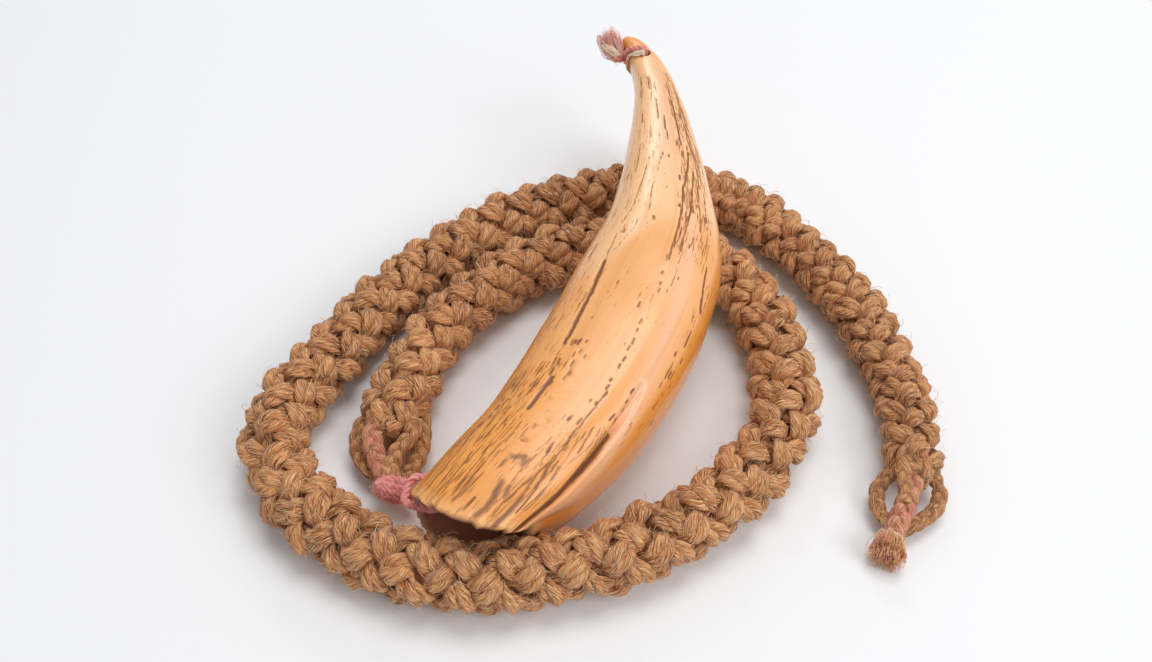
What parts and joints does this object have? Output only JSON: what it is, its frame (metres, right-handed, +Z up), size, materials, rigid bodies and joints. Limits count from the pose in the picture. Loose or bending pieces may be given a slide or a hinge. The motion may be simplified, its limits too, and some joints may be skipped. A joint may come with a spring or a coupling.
{
  "type": "whale tooth ornament",
  "caption": "Curved polished sperm whale tooth with a hollow root and a drilled tip, lying on a turn of its plaited coconut-fibre cord, with wool ties.",
  "frame": {"origin": "on the floor under the middle of the tooth and its wool ties, measured without the cord", "axes": "+Z up, +Y along the tooth's chord from the hollow root to the tip, +X towards the tooth's convex side"},
  "size_m": [0.1917, 0.2056, 0.0483],
  "materials": {
    "polished_tooth": "polished tooth ivory, cream at the neck and orange-yellow at the root, brown grain lines and pits",
    "red_wool": "faded red wool yarn, fluffy at its end",
    "pink_wool": "pink wool yarn, loosely knotted",
    "cream_strip": "thin twisted cream strip",
    "coconut_fibre": "coarse brown coconut fibre, plaited from flat braided strands"
  },
  "bodies": {
    "root": {"tooth": "polished_tooth", "tip_wool_tie": "red_wool", "tip_cream_strip": "cream_strip", "root_wool_tie": "pink_wool", "coir_rope": "coconut_fibre", "rope_near_end": "coconut_fibre", "rope_far_end": "coconut_fibre"}
  },
  "joints": []
}
